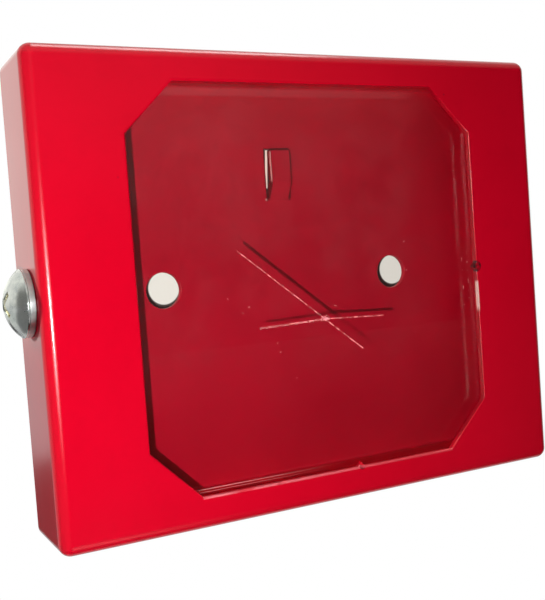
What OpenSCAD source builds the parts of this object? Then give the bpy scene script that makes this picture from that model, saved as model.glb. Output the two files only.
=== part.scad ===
// Wall box for an emergency key, with a breakable clear pane.
// Folded steel cover with a cut-corner window, a wall tray with a lanced key hook,
// a scored pane held by two clamp bars, and one large domed screw in the left side.
// X is to the right, +Z is up, the wall plane is Y = 0 and the front faces -Y.

/* [Box] */
// Overall width
box_w = 158.75; // [130:0.25:240]
// Overall height
box_h = 127; // [100:0.5:200]
// Overall depth from the wall to the front face
box_d = 25.4; // [24:0.1:40]
// Thickness of the folded steel sheet
sheet_t = 1.9; // [1.2:0.1:2.2]
// Outside radius of the cover's bends and welded corners
corner_r = 3.2; // [2.6:0.1:4.5]

/* [Window] */
// Width of the front frame at the left and right of the window
frame_side = 24.8; // [22:0.1:36]
// Height of the front frame above and below the window
frame_edge = 8.9; // [7:0.1:20]
// Leg of the cut corners of the window
window_cut = 13.7; // [4:0.1:24]
// Height of the two small nibs left on the window edge
nib_h = 1.2; // [0.4:0.1:2]
// Base width of those nibs
nib_w = 2.4; // [1:0.1:4]
// Distance of the lower nib to the right of the centre
nib_x = 8.6; // [-20:0.1:20]

/* [Pane] */
// Thickness of the clear pane
pane_t = 2.4; // [1.5:0.1:3.2]
// Depth of the two score lines cut into the pane
score_depth = 0.35; // [0.1:0.05:0.8]
// Height of the point where the score lines cross, below the centre
score_drop = 11.3; // [0:0.1:30]

/* [Wall tray] */
// Gap between the cover's inside and the tray's flanges
tray_gap = 1.6; // [1.4:0.1:3]
// Depth of the top and bottom flanges, from the wall
edge_flange = 10.5; // [6:0.1:14]
// Inside radius of the tray's bends
tray_bend = 1; // [0.4:0.1:2]
// Side of the square reliefs at the tray's corners
corner_relief = 4.5; // [4.2:0.1:8]
// Distance between the two wall holes
wall_hole_spacing = 78; // [40:0.5:100]
// Diameter of the wall holes
wall_hole_d = 10.3; // [4:0.1:12]

/* [Key hook] */
// Width of the hook tab
hook_w = 7; // [4:0.1:12]
// Height of the tab's free end above the centre
hook_top = 39.3; // [32:0.1:44]
// Height of the tab's bend line above the centre
hook_root = 24.3; // [14:0.1:25]
// Height over which the tab slopes forward
hook_slope = 5.7; // [3:0.1:7]
// Gap between the tray's front surface and the back of the tab
hook_gap = 1.0; // [0.8:0.05:3]
// Width of the lanced slit round the tab
hook_slit = 0.3; // [0.2:0.05:1.2]

/* [Side screw] */
// Diameter of the screw's shank
screw_d = 7.94; // [6:0.02:8.5]
// Length of the shank under the head
screw_len = 15.9; // [13:0.1:17]
// Distance of the screw's axis from the wall
screw_depth = 12.7; // [11:0.1:13.5]
// Diameter of the domed head
head_d = 17.7; // [15:0.1:20]
// Height of the head's straight rim
head_rim = 0.4; // [0.3:0.1:1.5]
// Height of the dome above the rim
head_dome = 4.3; // [3:0.1:6]
// Span of the cross recess
recess_span = 8; // [5:0.1:9]
// Width of the recess's wings
recess_w = 1.9; // [1.2:0.1:2.4]
// Depth of the recess below the top of the dome
recess_depth = 2.8; // [1.5:0.1:3]
// How far the washer's rim stays inside the head's rim
washer_step = 0.15; // [0:0.05:1.5]
// Thickness of the washer
washer_t = 1.65; // [1:0.05:2.4]

/* [Rivet nut] */
// Diameter of the collar that lies on the tray's flange
collar_d = 13; // [12:0.1:14]
// Diameter of the barrel
barrel_d = 10.6; // [10:0.1:11.5]
// Length of the barrel behind the collar
barrel_len = 13; // [11:0.1:15]
// Length of the upset bulge that grips the flange
bulge_len = 3; // [1.5:0.1:5]

/* [Clamp bars] */
// Thickness of the two clamp bars
bar_t = 1.5; // [0.8:0.1:2]
// Inside radius of the bars' bends
bar_bend = 0.6; // [0.2:0.05:0.9]
// Distance from the pane's end to the bar's end
bar_end = 9.7; // [2:0.1:20]
// Width of the bar's flat foot
foot_w = 7.4; // [7:0.1:10]
// Reach of the bar's lip, from the riser's outer face
lip_w = 5.4; // [4.5:0.1:8]
// Thickness of the soft pad between bar and pane
pad_t = 1; // [0.5:0.1:1.5]
// Width of that pad
pad_w = 2.8; // [1.5:0.1:3]
// Diameter of the weld studs
stud_d = 3; // [2:0.1:3.5]
// Length of the weld studs
stud_len = 6; // [5.5:0.1:7]
// Distance of each stud from the bar's end
stud_inset = 6; // [4:0.1:15]
// Width of the stud nuts across flats
nut_flats = 5.5; // [5:0.1:6]
// Thickness of the stud nuts
nut_t = 2.4; // [1.6:0.1:2.6]
// Outside diameter of the stud washers
small_washer_d = 6.6; // [5:0.1:6.8]
// Thickness of the stud washers
small_washer_t = 0.6; // [0.3:0.1:0.8]

/* [Clearances] */
// The cover's rear edge stands this far off the wall
rear_gap = 0.3; // [0:0.1:1]
// Radial play of a thread or pin in its hole
run_play = 0.05; // [0.02:0.01:0.1]
// Play at each side of the shank in the cover's open slot
slot_play = 0.4; // [0.2:0.05:1]
// Air under the washer of the screw
seat_air = 0.05; // [0.02:0.01:0.2]
// Air between the rivet nut's collar and the cover
collar_air = 0.1; // [0.05:0.05:0.3]
// Air between the front sheet and the pane
pane_air = 0.2; // [0:0.05:0.4]
// Air between the pane's edges and what surrounds them
pane_side_air = 0.7; // [0.3:0.1:1.5]
// Air between a clamp bar and the tray's flange
bar_air = 0.8; // [0.4:0.1:2]
// Radial play of the bars and small washers on the studs
stud_play = 0.15; // [0.05:0.05:0.4]

/* [Hidden] */
$fn = 64;
overcut = 1;

// Cover and window
front_in = box_d - sheet_t;
window_w = box_w - 2 * frame_side;
window_h = box_h - 2 * frame_edge;

// Tray
tray_w = box_w - 2 * (sheet_t + tray_gap);
tray_h = box_h - 2 * (sheet_t + tray_gap);
flange_margin = 0.6;
side_flange = screw_depth + collar_d / 2 + flange_margin;
hook_rise = sheet_t + hook_gap;

// Pane, bars and studs, worked out from the tray's flange towards the window
foot_out = tray_w / 2 - sheet_t - bar_air;
riser_out = foot_out - foot_w;
riser_in = riser_out - bar_t;
lip_in = riser_out - lip_w;
pane_w = 2 * (riser_in - pane_side_air);
pane_h = box_h - 2 * (corner_r + pane_side_air);
pane_rear = front_in - pane_air - pane_t;
lip_front = pane_rear - pad_t;
bar_len = pane_h - 2 * bar_end;
stud_x = (foot_out + riser_out) / 2;
stud_y = bar_len / 2 - stud_inset;
foot_rear = front_in - bar_t;

// Screw, measured outwards from the cover's left face
head_seat = seat_air + washer_t;
flange_face = -(sheet_t + tray_gap);
dome_r = (pow(head_d / 2, 2) + pow(head_dome, 2)) / (2 * head_dome);
head_top = head_seat + head_rim + head_dome;
washer_d = head_d - 2 * washer_step;

// Turns a shape drawn on the wall, with its depth as height, to stand up in front of it
module stand() {
    rotate([90, 0, 0]) children();
}

// Puts a shape on the screw's axis, pointing out of the cover's left side
module on_screw_axis() {
    translate([-box_w / 2, 0, screw_depth]) rotate([0, -90, 0]) children();
}

// Repeats a shape at the four studs
module at_studs() {
    for (x = [-stud_x, stud_x], y = [-stud_y, stud_y]) translate([x, y, 0]) children();
}

// Rectangle with round corners
module rounded_rectangle(w, h, r) {
    square([w - 2 * r, h], center = true);
    square([w, h - 2 * r], center = true);
    for (x = [-1, 1], y = [-1, 1]) translate([x * (w / 2 - r), y * (h / 2 - r)]) circle(r);
}

// Block with round sides and a round front edge, open end square at depth z0
module soft_block(w, h, z0, z1, r) {
    translate([0, 0, z0]) linear_extrude(z1 - r - z0) rounded_rectangle(w, h, r);
    translate([r - w / 2, r - h / 2, z0]) cube([w - 2 * r, h - 2 * r, z1 - z0]);
    for (s = [-1, 1]) {
        translate([0, s * (h / 2 - r), z1 - r]) rotate([0, 90, 0])
            cylinder(h = w - 2 * r, r = r, center = true);
        translate([s * (w / 2 - r), 0, z1 - r]) rotate([90, 0, 0])
            cylinder(h = h - 2 * r, r = r, center = true);
    }
    for (x = [-1, 1], y = [-1, 1]) translate([x * (w / 2 - r), y * (h / 2 - r), z1 - r]) sphere(r);
}

// Small triangular nib, its base on the x axis
module nib() {
    polygon([[-nib_w / 2, -overcut], [nib_w / 2, -overcut], [nib_w / 2, 0], [0, nib_h], [-nib_w / 2, 0]]);
}

// Window outline with its cut corners and the two nibs
module window_outline() {
    x = window_w / 2;
    y = window_h / 2;
    c = window_cut;
    difference() {
        polygon([[c - x, y], [x - c, y], [x, y - c], [x, c - y],
                 [x - c, -y], [c - x, -y], [-x, c - y], [-x, y - c]]);
        translate([nib_x, -y]) nib();
        translate([x, 0]) rotate(90) nib();
    }
}

// Open slot in the cover's left side that lets it come off the loosened screw
module screw_slot() {
    slot_w = screw_d + 2 * slot_play;
    cut = sheet_t + 2 * overcut;
    on_screw_axis() {
        translate([0, 0, -sheet_t - overcut]) cylinder(h = cut, d = slot_w);
        translate([-screw_depth - overcut, -slot_w / 2, -sheet_t - overcut])
            cube([screw_depth + overcut, slot_w, cut]);
    }
}

// Folded channel: a floor on z = 0 with a flange of the given depth at each side
module channel(w, depth) {
    r_in = tray_bend;
    r_out = tray_bend + sheet_t;
    difference() {
        union() {
            translate([-w / 2, r_out]) square([w, depth - r_out]);
            translate([r_out - w / 2, 0]) square([w - 2 * r_out, depth]);
            for (s = [-1, 1]) translate([s * (w / 2 - r_out), r_out]) circle(r_out);
        }
        translate([sheet_t - w / 2, r_out]) square([w - 2 * sheet_t, depth]);
        translate([r_out - w / 2, sheet_t]) square([w - 2 * r_out, depth]);
        for (s = [-1, 1]) translate([s * (w / 2 - r_out), r_out]) circle(r_in);
    }
}

// Side profile of the hook: root in the plate, slope, then the upright tab
module hook_profile() {
    bend = sheet_t * tan(atan(hook_rise / hook_slope) / 2);
    knee = hook_root + hook_slope;
    polygon([[hook_root - bend - overcut, 0], [hook_root, 0], [knee, hook_rise], [hook_top, hook_rise],
             [hook_top, hook_rise + sheet_t], [knee - bend, hook_rise + sheet_t],
             [hook_root - bend, sheet_t], [hook_root - bend - overcut, sheet_t]]);
}

// Clamp bar in section, for the right side: foot, riser and lip with round bends
module bar_section() {
    r = bar_bend;
    z_foot = foot_rear;
    z_lip = lip_front - bar_t;
    difference() {
        union() {
            translate([riser_in, z_foot]) square([foot_out - riser_in, bar_t]);
            translate([riser_in, z_lip + bar_t]) square([bar_t, front_in - z_lip - bar_t]);
            translate([lip_in, z_lip]) square([riser_out - lip_in, bar_t]);
            translate([riser_out, z_foot - r]) square(r);
            translate([riser_in - r, lip_front]) square(r);
        }
        translate([riser_out + r, z_foot - r]) circle(r);
        translate([riser_in - r, lip_front + r]) circle(r);
    }
}

// One clamp bar, drawn at the right side
module clamp_bar() {
    difference() {
        rotate([90, 0, 0]) linear_extrude(bar_len, center = true) bar_section();
        at_studs() cylinder(h = box_d, r = stud_d / 2 + stud_play);
    }
}

// One pad strip, drawn at the right side
module pad() {
    translate([riser_in - pane_side_air - pad_w, -bar_len / 2, lip_front]) cube([pad_w, bar_len, pad_t]);
}

// One score line from point a to point b, a square wire turned on its edge
module score(a, b) {
    d = b - a;
    side = score_depth * sqrt(2);
    translate([a[0], a[1], front_in - pane_air]) rotate([0, 0, atan2(d[1], d[0])])
        rotate([45, 0, 0]) translate([0, -side / 2, -side / 2]) cube([norm(d), side, side]);
}

module cover() {
    color("crimson") stand() difference() {
        soft_block(box_w, box_h, rear_gap, box_d, corner_r);
        soft_block(box_w - 2 * sheet_t, box_h - 2 * sheet_t, rear_gap - overcut, front_in, corner_r - sheet_t);
        translate([0, 0, front_in - overcut]) linear_extrude(sheet_t + 2 * overcut) window_outline();
        screw_slot();
    }
}

module back_tray() {
    tab_x = hook_w / 2 + hook_slit;
    color("firebrick") stand() {
        difference() {
            union() {
                rotate([90, 0, 0]) linear_extrude(tray_h - 2 * corner_relief, center = true)
                    channel(tray_w, side_flange);
                rotate([90, 0, 90]) linear_extrude(tray_w - 2 * corner_relief, center = true)
                    channel(tray_h, edge_flange);
            }
            for (s = [-1, 1]) translate([s * wall_hole_spacing / 2, 0, -overcut])
                cylinder(h = sheet_t + 2 * overcut, d = wall_hole_d);
            translate([-tab_x, hook_root, -overcut])
                cube([2 * tab_x, hook_top + hook_slit - hook_root, sheet_t + 2 * overcut]);
            on_screw_axis() translate([0, 0, flange_face - sheet_t - overcut])
                cylinder(h = sheet_t + 2 * overcut, r = barrel_d / 2 + run_play);
        }
        rotate([90, 0, 90]) linear_extrude(hook_w, center = true) hook_profile();
    }
}

module rivet_nut() {
    collar_t = tray_gap - collar_air;
    bulge_top = flange_face - sheet_t;
    color("gainsboro") stand() on_screw_axis() difference() {
        union() {
            translate([0, 0, flange_face]) cylinder(h = collar_t, d = collar_d);
            translate([0, 0, flange_face - barrel_len]) cylinder(h = barrel_len, d = barrel_d);
            translate([0, 0, bulge_top - bulge_len]) cylinder(h = bulge_len, d = collar_d);
        }
        translate([0, 0, flange_face - barrel_len - overcut])
            cylinder(h = barrel_len + collar_t + 2 * overcut, r = screw_d / 2 + run_play);
    }
}

module pane() {
    cross = [1.5, -score_drop];
    color("lightgray", 0.4) stand() difference() {
        translate([-pane_w / 2, -pane_h / 2, pane_rear]) cube([pane_w, pane_h, pane_t]);
        score(cross + [-26.5, 20.8], cross + [11.3, -9.6]);
        score(cross + [-21.3, -0.6], cross + [1, 0]);
        score(cross, cross + [19, -0.8]);
    }
}

module right_clamp_bar() {
    color("silver") stand() clamp_bar();
}

module left_clamp_bar() {
    color("silver") stand() mirror([1, 0, 0]) clamp_bar();
}

module right_pad() {
    color("dimgray") stand() pad();
}

module left_pad() {
    color("dimgray") stand() mirror([1, 0, 0]) pad();
}

module pane_studs() {
    color("peru") stand() at_studs() translate([0, 0, front_in - stud_len]) cylinder(h = stud_len, d = stud_d);
}

module stud_washers() {
    color("silver") stand() at_studs() translate([0, 0, foot_rear - small_washer_t]) difference() {
        cylinder(h = small_washer_t, d = small_washer_d);
        translate([0, 0, -overcut]) cylinder(h = small_washer_t + 2 * overcut, r = stud_d / 2 + stud_play);
    }
}

module stud_nuts() {
    nut_front = foot_rear - small_washer_t;
    color("silver") stand() at_studs() translate([0, 0, nut_front - nut_t]) difference() {
        rotate(30) cylinder(h = nut_t, r = nut_flats / sqrt(3), $fn = 6);
        translate([0, 0, -overcut]) cylinder(h = nut_t + 2 * overcut, r = stud_d / 2 + run_play);
    }
}

module screw_washer() {
    color("silver") stand() on_screw_axis() translate([0, 0, seat_air]) difference() {
        cylinder(h = washer_t, d = washer_d);
        translate([0, 0, -overcut]) cylinder(h = washer_t + 2 * overcut, r = screw_d / 2 + stud_play);
    }
}

// Cross recess, its wings turned to the diagonals, narrowing to a point inside the head
module cross_recess() {
    intersection() {
        rotate(45) for (a = [0, 90]) rotate(a)
            translate([-recess_span / 2, -recess_w / 2, -recess_depth]) cube([recess_span, recess_w, 2 * recess_depth]);
        translate([0, 0, -recess_depth])
            cylinder(h = recess_depth + overcut, r1 = recess_w / 2, r2 = recess_span / 2 + overcut);
    }
}

module side_screw() {
    color("silver") stand() on_screw_axis() difference() {
        union() {
            translate([0, 0, head_seat - screw_len]) cylinder(h = screw_len, d = screw_d);
            translate([0, 0, head_seat]) cylinder(h = head_rim, d = head_d);
            intersection() {
                translate([0, 0, head_top - dome_r]) sphere(dome_r);
                translate([0, 0, head_seat + head_rim]) cylinder(h = head_dome + overcut, d = head_d);
            }
        }
        translate([0, 0, head_top]) cross_recess();
    }
}

back_tray();
rivet_nut();
cover();
pane();
left_clamp_bar();
right_clamp_bar();
left_pad();
right_pad();
pane_studs();
stud_washers();
stud_nuts();
screw_washer();
side_screw();
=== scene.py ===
"""Break glass key box: the looks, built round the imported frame.

Sizes below are in millimetres and become metres where a mesh is made.
X is to the right, +Z is up, the wall plane is Y = 0 and the front faces -Y.
A folded piece is drawn as a flat blank with (u, v) on the sheet and t through it.
"""

import math

import bmesh
import bpy
import numpy as np
from mathutils import Matrix, Vector
from mathutils.geometry import delaunay_2d_cdt


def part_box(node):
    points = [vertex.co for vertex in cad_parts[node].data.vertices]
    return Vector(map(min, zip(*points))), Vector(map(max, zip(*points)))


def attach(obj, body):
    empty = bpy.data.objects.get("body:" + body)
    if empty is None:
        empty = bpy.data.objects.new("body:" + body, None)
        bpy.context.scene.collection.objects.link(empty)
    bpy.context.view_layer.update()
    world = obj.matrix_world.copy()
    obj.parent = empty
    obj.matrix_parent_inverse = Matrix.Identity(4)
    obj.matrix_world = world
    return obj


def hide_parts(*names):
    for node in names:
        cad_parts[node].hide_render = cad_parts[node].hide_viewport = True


MM = 0.001
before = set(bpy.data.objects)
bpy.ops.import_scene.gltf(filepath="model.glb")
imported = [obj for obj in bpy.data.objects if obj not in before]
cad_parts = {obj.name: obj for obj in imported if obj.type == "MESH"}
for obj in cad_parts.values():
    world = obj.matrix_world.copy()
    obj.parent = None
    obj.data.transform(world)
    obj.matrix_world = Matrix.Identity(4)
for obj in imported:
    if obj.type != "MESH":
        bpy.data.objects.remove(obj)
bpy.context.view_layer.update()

QUARTER, FULL = math.pi / 2, 2 * math.pi
# Box
BOX_W, BOX_H, BOX_D = 158.75, 127.0, 25.4
LEFT = -BOX_W / 2
SHEET = 1.9
FRONT_IN = BOX_D - SHEET
BEND_OUT = 3.2
BEND_IN = BEND_OUT - SHEET
REAR_GAP, REAR_RIM = 0.3, 0.35
BEND_STEPS, CORNER_STEPS, RIM_STEPS, LIP_STEPS = 14, 14, 3, 4
# Window, its corners cut off, with a nib at its right and one at its bottom edge
WIN_X = BOX_W / 2 - 24.8
WIN_Z = BOX_H / 2 - 8.9
WIN_CUT = 13.7
NIB_H, NIB_HALF, NIB_X = 1.2, 1.2, 8.6
LIP_LEFT, LIP_LOW, LIP_REST, LIP_BACK = 0.75, 0.5, 0.24, 0.30
# Tray
TRAY_W, TRAY_H = 151.75, 120.0
TRAY_BEND = 1.0 + SHEET / 2
SIDE_FLANGE, EDGE_FLANGE = 19.8, 10.5
RELIEF = 4.5
WALL_HOLE_X, WALL_HOLE_R = 39.0, 5.15
TRAY_EDGE, HOLE_EDGE, SLIT_BACK_EDGE = 0.28, 0.35, 0.14
# Hook, lanced out of the tray's plate
HOOK_HALF, HOOK_SLIT, HOOK_RISE = 3.5, 0.3, 2.9
HOOK_ROOT, HOOK_KNEE, HOOK_TOP = 24.3, 30.0, 39.3
HOOK_BEND, KNEE_BACK = 1.2, 0.8
# Screw
SCREW_Y = -12.7
SHANK_R, HEAD_R, HEAD_RIM, HEAD_DOME = 3.97, 8.85, 0.4, 4.3
DOME_R = (HEAD_R ** 2 + HEAD_DOME ** 2) / (2 * HEAD_DOME)
WASHER_R, WASHER_T, SEAT_AIR = 8.7, 1.65, 0.05
HEAD_SEAT = SEAT_AIR + WASHER_T
HEAD_TOP = HEAD_SEAT + HEAD_RIM + HEAD_DOME
SHANK_END = HEAD_SEAT - 15.9
PITCH, RIDGE, THREAD_LEN, THREAD_DEEP = 1.411, 0.78, 11.2, 0.80
RECESS_SPAN, RECESS_W, RECESS_DEEP = 8.0, 1.9, 2.8
# Rivet nut
NUT_COLLAR_R, NUT_COLLAR_T, NUT_BARREL_R, NUT_LEN, NUT_HOLE_R = 6.5, 1.5, 5.3, 13.0, 5.35
NUT_FACE = -(SHEET + 1.6)
KNURLS, KNURL_LEN, KNURL_R = 30, 7.4, 5.24
# Pane: its face and thickness, two painted highlight lines low on it, score lines as (x, z) pairs, nicks, painted
# reflection dashes by its right edge, and sawn edges
PANE_FRONT, PANE_T = 23.3, 2.4
LOW_HIGHLIGHT_LINES = (-53.08, -53.80)
SCORE_CROSS = (1.5, -11.3)
SCORES = (((-25.0, 9.5), (12.8, -20.9)), ((-19.8, -11.9), (1.5, -11.3)), ((1.5, -11.3), (20.5, -12.1)))
NICKS = ((29.7, 9.4), (29.5, 0.7), (31.4, -18.0), (-9.3, -27.0), (4.5, -7.7), (-29.1, -2.8),
         (-22.8, -5.6), (-24.7, -7.3), (-14.7, -16.3), (-14.0, -19.1), (-0.5, -17.1))
# Painted reflection: columns of flakes near the window's right edge stand for that edge's highlight seen in the pane
EDGE_REFLECTION_DASHES = ((WIN_X - 3.9, 5.2, -9.4), (WIN_X - 1.9, 5.0, -9.0))
SAWN_X, SAWN_Z = 62.9, 59.2
# Clamp bars, their studs, washers and nuts
FOOT_OUT, RISER_OUT, RISER_IN, LIP_IN = 73.175, 65.775, 64.275, 60.375
RISER_MID = (RISER_IN + RISER_OUT) / 2
BAR_T, BAR_HALF, BAR_BEND, BAR_EDGE = 1.5, 49.9, 0.6 + 0.75, 0.2
STUD_X, STUD_Z, STUD_R, STUD_LEN = 69.475, 43.9, 1.5, 6.0
STUD_PITCH, STUD_THREAD_LEN, STUD_RIDGE, STUD_CORE = 0.5, 3.9, 0.16, 1.28
STUD_WASHER_R, STUD_WASHER_T, STUD_NUT_H, STUD_NUT_FLATS = 3.3, 0.6, 2.4, 5.5
# Studio cards behind the holes and the hook: (x0, x1, z0, z1), at CARD_Y behind the wall plane
CARD_Y, CLOTH_Y, FLOOR_Z = 5, 800, -420
HOLE_CARD, HOOK_CARD = (-60, 60, -20, 12), (-9, 12, 20, 48)
DARK_CLOTHS = ((-408, -166, -420, -202), (-150, -80, 165, 240))
PHOTO_HEIGHT, FOCAL_PX, SENSOR = 600, 915.37, 36


# ---------------------------------------------------------------- mesh making

def linked(name, data):
    """A new object in the scene."""
    obj = bpy.data.objects.new(name, data)
    bpy.context.scene.collection.objects.link(obj)
    return obj


def closed_mesh(name, points, faces, merge=1e-7):
    """A mesh from points in mm, with its doubles merged and its faces turned outwards."""
    work = bmesh.new()
    corners = [work.verts.new(Vector(p) * MM) for p in points]
    for face in faces:
        ring = [corners[i] for i in dict.fromkeys(face)]
        if len(ring) > 2 and not work.faces.get(ring):
            work.faces.new(ring)
    bmesh.ops.remove_doubles(work, verts=work.verts, dist=merge)
    bmesh.ops.dissolve_degenerate(work, edges=work.edges, dist=1e-7)
    bmesh.ops.delete(work, geom=[v for v in work.verts if not v.link_faces], context="VERTS")
    bmesh.ops.recalc_face_normals(work, faces=work.faces)
    mesh = bpy.data.meshes.new(name)
    work.to_mesh(mesh)
    work.free()
    return mesh


def even_normals(mesh, crease):
    """Corner normals weighted by face area, so that flats stay flat and bends turn smoothly."""
    count = len(mesh.polygons)
    normal = np.zeros(count * 3)
    mesh.polygons.foreach_get("normal", normal)
    normal = normal.reshape(-1, 3)
    area = np.zeros(count)
    mesh.polygons.foreach_get("area", area)
    limit = math.cos(math.radians(crease))
    around = [[] for _ in mesh.vertices]
    for face in mesh.polygons:
        for v in face.vertices:
            around[v].append(face.index)
    corner = np.zeros((len(mesh.loops), 3))
    for face in mesh.polygons:
        own = normal[face.index]
        for k, v in zip(face.loop_indices, face.vertices):
            near = around[v]
            close = normal[near] @ own > limit
            total = (normal[near] * (area[near] * close)[:, None]).sum(0)
            length = np.linalg.norm(total)
            corner[k] = total / length if length > 1e-12 else own
    mesh.polygons.foreach_set("use_smooth", [True] * count)
    mesh.normals_split_custom_set([tuple(n) for n in corner])


def dressed(name, mesh, body, slot_name, finish, node=None, crease=48):
    """Puts a mesh in the scene as a piece that rides on its body and may stand for a CAD node."""
    even_normals(mesh, crease)
    obj = linked(name, mesh)
    mesh.materials.clear()
    mesh.materials.append(finish)
    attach(obj, body)
    if node:
        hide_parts(node)
    return obj


def solid_piece(name, points, faces, *dress):
    """A closed piece from points in mm."""
    return dressed(name, closed_mesh(name, points, faces, 2e-6), *dress)


def bands(first, rings, count, closed=False):
    """Faces between rings of count points each, the first of which starts at the index first."""
    faces = []
    for k in range(rings if closed else rings - 1):
        here, there = first + k * count, first + (k + 1) % rings * count
        faces += [(here + i, here + (i + 1) % count, there + (i + 1) % count, there + i) for i in range(count)]
    return faces


def quarter_turn(steps):
    """Sine and cosine at each step from 0 to 90 degrees."""
    return [(math.sin(QUARTER * k / steps), math.cos(QUARTER * k / steps)) for k in range(steps + 1)]


def rolled_edge(front, back, low, high, steps):
    """(inset, height) pairs down a cut edge that is rounded at its front and its back."""
    over = [(front * (1 - s), high - front * (1 - c)) for s, c in quarter_turn(steps)]
    return over + [(back * (1 - s), low + back * (1 - c)) for s, c in reversed(quarter_turn(steps))]


def inset(loop, amount):
    """The loop moved into the sheet, which lies to the left of its direction."""
    loop = np.asarray(loop, float)
    ahead = np.roll(loop, -1, 0) - loop
    ahead /= np.linalg.norm(ahead, axis=1)[:, None]
    left = np.stack([-ahead[:, 1], ahead[:, 0]], 1)
    half = left + np.roll(left, 1, 0)
    half /= (half * left).sum(1)[:, None]
    return loop + half * amount


def ccw(loop, wanted=True):
    """The loop in the wanted turning direction."""
    loop = np.asarray(loop, float)
    x, y = loop[:, 0], loop[:, 1]
    turning = (x * np.roll(y, -1) - y * np.roll(x, -1)).sum() > 0
    return loop if turning == wanted else loop[::-1]


def within(points, loop):
    """Which points lie inside a loop."""
    inside = np.zeros(len(points), bool)
    px, py = points[:, 0], points[:, 1]
    for (ax, ay), (bx, by) in zip(loop, np.roll(loop, -1, 0)):
        crosses = (ay > py) != (by > py)
        with np.errstate(divide="ignore", invalid="ignore"):
            side = px < (bx - ax) * (py - ay) / (by - ay) + ax
        inside ^= crosses & side
    return inside


def filled(outer, holes, lines=()):
    """Triangles of a flat region with holes. Lines are pairs of points that triangles don't cross."""
    points, edges = [], []
    for loop in [outer, *holes]:
        first = len(points)
        points += [Vector(p) for p in loop]
        edges += [(first + i, first + (i + 1) % len(loop)) for i in range(len(loop))]
    for a, b in lines:
        points += [Vector(a), Vector(b)]
        edges.append((len(points) - 2, len(points) - 1))
    spots, _, faces, *_ = delaunay_2d_cdt(points, edges, [], 0, 1e-5)
    spots = np.array([tuple(p) for p in spots])
    faces = np.array([f for f in faces if len(f) == 3])
    middle = spots[faces].mean(1)
    keep = within(middle, outer)
    for hole in holes:
        keep &= ~within(middle, hole)
    return spots, faces[keep]


def cut_sheet(outer, holes, thickness, edges, fold, lines):
    """A sheet with rounded cut edges, drawn flat and folded point by point.

    edges holds the rounding of each loop at the front and the back, and t runs from 0 to thickness.
    """
    loops = [ccw(outer)] + [ccw(h, False) for h in holes]
    points, faces = [], []
    for side, t in ((0, thickness), (1, 0.0)):
        rims = [inset(loop, e[side]) for loop, e in zip(loops, edges)]
        spots, tris = filled(rims[0], rims[1:], lines)
        first = len(points)
        points += [(u, v, t) for u, v in spots]
        faces += [tuple(first + i for i in f) for f in tris]
    for loop, (front, back) in zip(loops, edges):
        rings = rolled_edge(front, back, 0.0, thickness, 3)
        faces += bands(len(points), len(rings), len(loop))
        for away, t in rings:
            points += [(u, v, t) for u, v in inset(loop, away)]
    return fold(np.array(points)), faces


def split_edges(loop, us=(), vs=()):
    """Adds the corners that a fold needs where the loop's edges cross the given u or v values."""
    out = []
    for a, b in zip(np.asarray(loop, float), np.roll(np.asarray(loop, float), -1, 0)):
        out.append(tuple(a))
        cuts = []
        for axis, values in ((0, us), (1, vs)):
            if abs(b[axis] - a[axis]) > 1e-9:
                cuts += [s for s in ((w - a[axis]) / (b[axis] - a[axis]) for w in values) if 1e-6 < s < 1 - 1e-6]
        out += [tuple(a + (b - a) * s) for s in sorted(cuts)]
    return out


def bend_path(start, parts):
    """Follows straights (length) and arcs (radius, degrees): gives place and heading along a folded section."""
    def along(x, y, turn, part, s):
        """Position and heading at s along one part, which starts at x, y with the heading turn."""
        if len(part) == 1:
            return x + s * math.cos(turn), y + s * math.sin(turn), turn + 0 * s
        bow = math.copysign(part[0], part[1])
        now = turn + s / bow
        return x + bow * (np.sin(now) - math.sin(turn)), y - bow * (np.cos(now) - math.cos(turn)), now

    marks, spot, run = [], (*start, 0.0), 0.0
    for part in parts:
        marks.append((run, spot, part))
        length = part[0] if len(part) == 1 else part[0] * math.radians(abs(part[1]))
        spot, run = along(*spot, part, length), run + length

    def place(w):
        """Position and heading at the run w, for an array."""
        out = along(*marks[0][1], marks[0][2], w)
        for begins, spot, part in marks[1:]:
            here = w >= begins - 1e-9
            out = [np.where(here, new, old) for new, old in zip(along(*spot, part, w - begins), out)]
        return out

    return place


def ring_of(cx, cy, radius, count=48):
    """Corner points of a round hole."""
    turns = np.arange(count) / count * FULL
    return np.stack([cx + radius * np.cos(turns), cy + radius * np.sin(turns)], 1)


def turned(profile, count, place):
    """A turned piece from a closed run of (height, radius) points; place puts it in the box."""
    turns = [FULL * k / count for k in range(count)]
    points = [place(h, r * math.cos(a), r * math.sin(a)) for a in turns for h, r in profile]
    return points, bands(0, count, len(profile), closed=True)


def rounded_profile(corners, radius, steps):
    """Rounds the corners of a closed (height, radius) profile. A corner (h, r, own) has its own rounding."""
    out, n = [], len(corners)
    for i in range(n):
        here = np.array(corners[i][:2], float)
        size = corners[i][2] if len(corners[i]) > 2 else radius
        if size <= 0:
            out.append(tuple(here))
            continue
        back = np.array(corners[i - 1][:2], float) - here
        on = np.array(corners[(i + 1) % n][:2], float) - here
        back, on = back / np.linalg.norm(back), on / np.linalg.norm(on)
        half = math.acos(max(-1, min(1, float(back @ on)))) / 2
        reach = size / math.tan(half)
        middle = here + (back + on) / np.linalg.norm(back + on) * size / math.sin(half)
        a, b = here + back * reach - middle, here + on * reach - middle
        turn = math.atan2(a[0] * b[1] - a[1] * b[0], float(a @ b))
        for k in range(steps + 1):
            c, s = math.cos(turn * k / steps), math.sin(turn * k / steps)
            out.append((middle[0] + a[0] * c - a[1] * s, middle[1] + a[0] * s + a[1] * c))
    return out


def on_screw_axis(h, p, q):
    """A point at height h out of the cover's left side, with p away from the wall and q up."""
    return (LEFT - h, SCREW_Y - p, q)


# ---------------------------------------------------------------- finishes

def operator(operation, flipped=False):
    """The method that adds one Math node; flipped is for a number that stands before the wire."""
    def apply(self, *others):
        values = [*others, self] if flipped else [self, *others]
        return self.recipe.node("ShaderNodeMath", {"operation": operation}, values)
    return apply


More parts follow.
